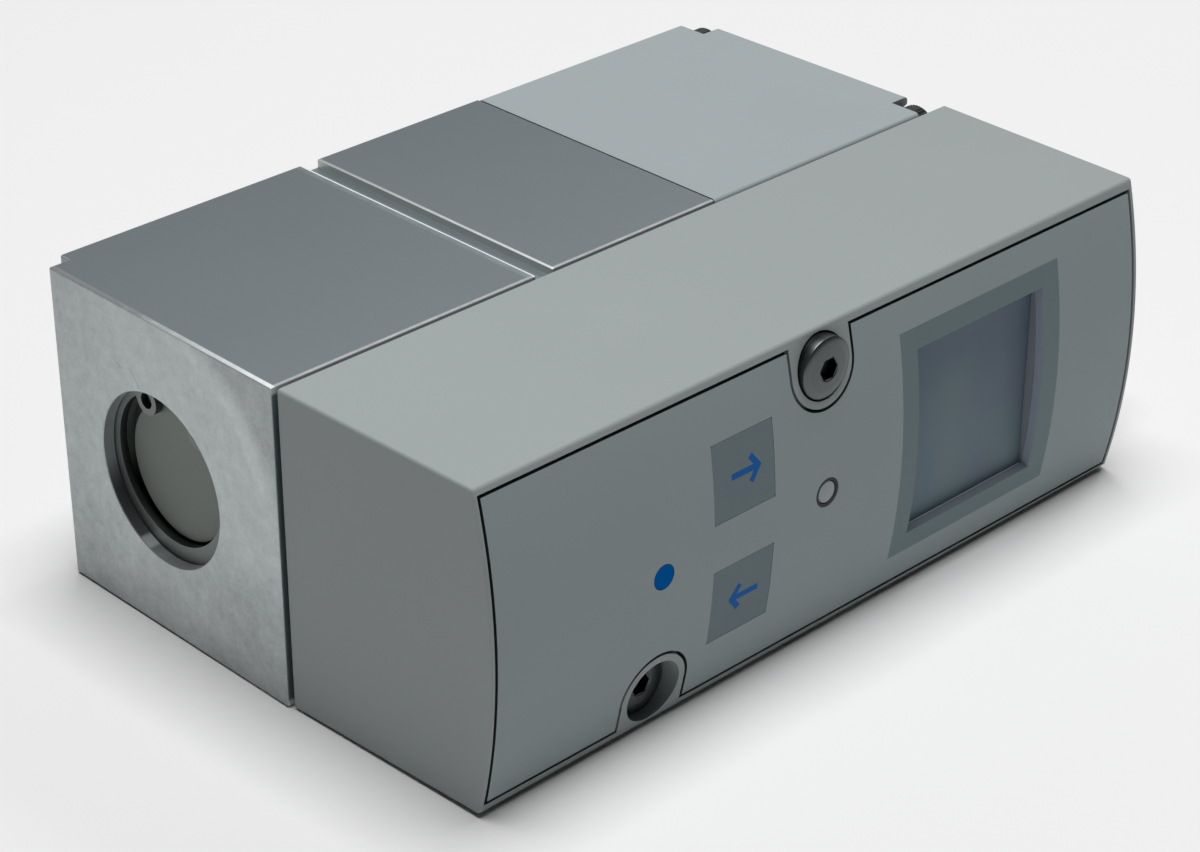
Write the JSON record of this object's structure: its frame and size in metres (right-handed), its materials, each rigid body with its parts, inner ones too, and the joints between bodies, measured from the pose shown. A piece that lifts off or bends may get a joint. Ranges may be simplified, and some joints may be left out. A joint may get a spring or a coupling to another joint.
{
  "type": "proportional pressure regulator",
  "caption": "Electro pneumatic pressure regulator: slim grey housing with a bowed key and display panel, bolted along a bored metal valve block with ports on its back face.",
  "frame": {"origin": "centre of the overall footprint, on the plane that the part rests on", "axes": "+X from the bored end of the valve block towards the cable connector, +Y from the operating panel back to the port face, +Z across the width, up as the part lies on its long side"},
  "size_m": [0.1234, 0.0808, 0.042],
  "materials": {
    "housing_plastic": "fine-grained moulded light grey",
    "panel_plastic": "smooth matt mid grey",
    "window_glass": "clear over a grey display",
    "black_plastic": "matt black",
    "key_plastic": "matt dark grey",
    "blue_plastic": "matt blue",
    "seal_rubber": "black",
    "light_pipe": "clear to milky",
    "board_green": "green solder resist",
    "plated_steel": "satin plated",
    "nickel_brass": "plated, satin",
    "satin_aluminium": "satin anodised",
    "turned_aluminium": "turned",
    "black_steel": "blackened",
    "bare_brass": "turned",
    "cover_plastic": "fine-grained moulded light grey",
    "coil_plastic": "matt blue"
  },
  "bodies": {
    "regulator": {"front_housing": "housing_plastic", "front_panel": "panel_plastic", "display_window": "window_glass", "display_frame": "black_plastic", "display_module": "black_plastic", "key_mat": "seal_rubber", "status_light_pipe": "light_pipe", "circuit_board": "board_green", "pressure_sensor": "plated_steel", "back_plate": "black_plastic", "housing_gasket": "seal_rubber", "connector_shell": "nickel_brass", "connector_nut": "nickel_brass", "connector_insert": "black_plastic", "fixing_screw_upper": "plated_steel", "fixing_screw_lower": "plated_steel", "valve_body": "satin_aluminium", "regulating_body": "satin_aluminium", "body_seal": "seal_rubber", "base_seal": "seal_rubber", "retaining_ring": "black_steel", "end_plug": "turned_aluminium", "plug_seal": "seal_rubber", "return_spring": "plated_steel", "supply_port_seal": "seal_rubber", "output_port_seal": "seal_rubber", "exhaust_port_seal": "seal_rubber", "body_screw_1": "black_steel", "body_screw_2": "black_steel", "body_screw_3": "black_steel", "body_screw_4": "black_steel", "pilot_cover": "cover_plastic", "cover_screw_1": "black_steel", "cover_screw_2": "black_steel", "cover_screw_3": "black_steel", "cover_screw_4": "black_steel", "pilot_base": "turned_aluminium", "pilot_valve_fill": "coil_plastic", "pilot_valve_vent": "coil_plastic", "armature_spring_fill": "plated_steel", "armature_spring_vent": "plated_steel"},
    "piston": {"regulating_piston": "turned_aluminium", "piston_seal": "seal_rubber"},
    "poppet": {"main_poppet": "bare_brass", "poppet_seal": "seal_rubber"},
    "fill_armature": {"armature_fill": "plated_steel"},
    "vent_armature": {"armature_vent": "plated_steel"},
    "up_key": {"key_up": "key_plastic"},
    "down_key": {"key_down": "key_plastic"},
    "edit_key": {"key_edit": "blue_plastic"}
  },
  "joints": [
    {"name": "piston_slide", "type": "slide", "parent": "regulator", "child": "piston", "axis": [-1, 0, 0], "range_m": [0, 0.0015]},
    {"name": "poppet_slide", "type": "slide", "parent": "regulator", "child": "poppet", "axis": [-1, 0, 0], "range_m": [0, 0.0015], "stiffness_N_per_m": 2000, "springref_m": -0.002, "deforming": ["return_spring"]},
    {"name": "fill_armature_slide", "type": "slide", "parent": "regulator", "child": "fill_armature", "axis": [1, 0, 0], "range_m": [0, 0.0004], "stiffness_N_per_m": 1000, "springref_m": -0.001, "deforming": ["armature_spring_fill"]},
    {"name": "vent_armature_slide", "type": "slide", "parent": "regulator", "child": "vent_armature", "axis": [1, 0, 0], "range_m": [0, 0.0004], "stiffness_N_per_m": 1000, "springref_m": -0.001, "deforming": ["armature_spring_vent"]},
    {"name": "up_key_press", "type": "slide", "parent": "regulator", "child": "up_key", "axis": [0, 1, 0], "range_m": [0, 0.0004], "stiffness_N_per_m": 800, "springref_m": -0.001},
    {"name": "down_key_press", "type": "slide", "parent": "regulator", "child": "down_key", "axis": [0, 1, 0], "range_m": [0, 0.0004], "stiffness_N_per_m": 800, "springref_m": -0.001},
    {"name": "edit_key_press", "type": "slide", "parent": "regulator", "child": "edit_key", "axis": [0, 1, 0], "range_m": [0, 0.0004], "stiffness_N_per_m": 800, "springref_m": -0.001}
  ],
  "couplings": [
    {"joint": "poppet_slide", "follows": "piston_slide", "ratio": 1}
  ]
}
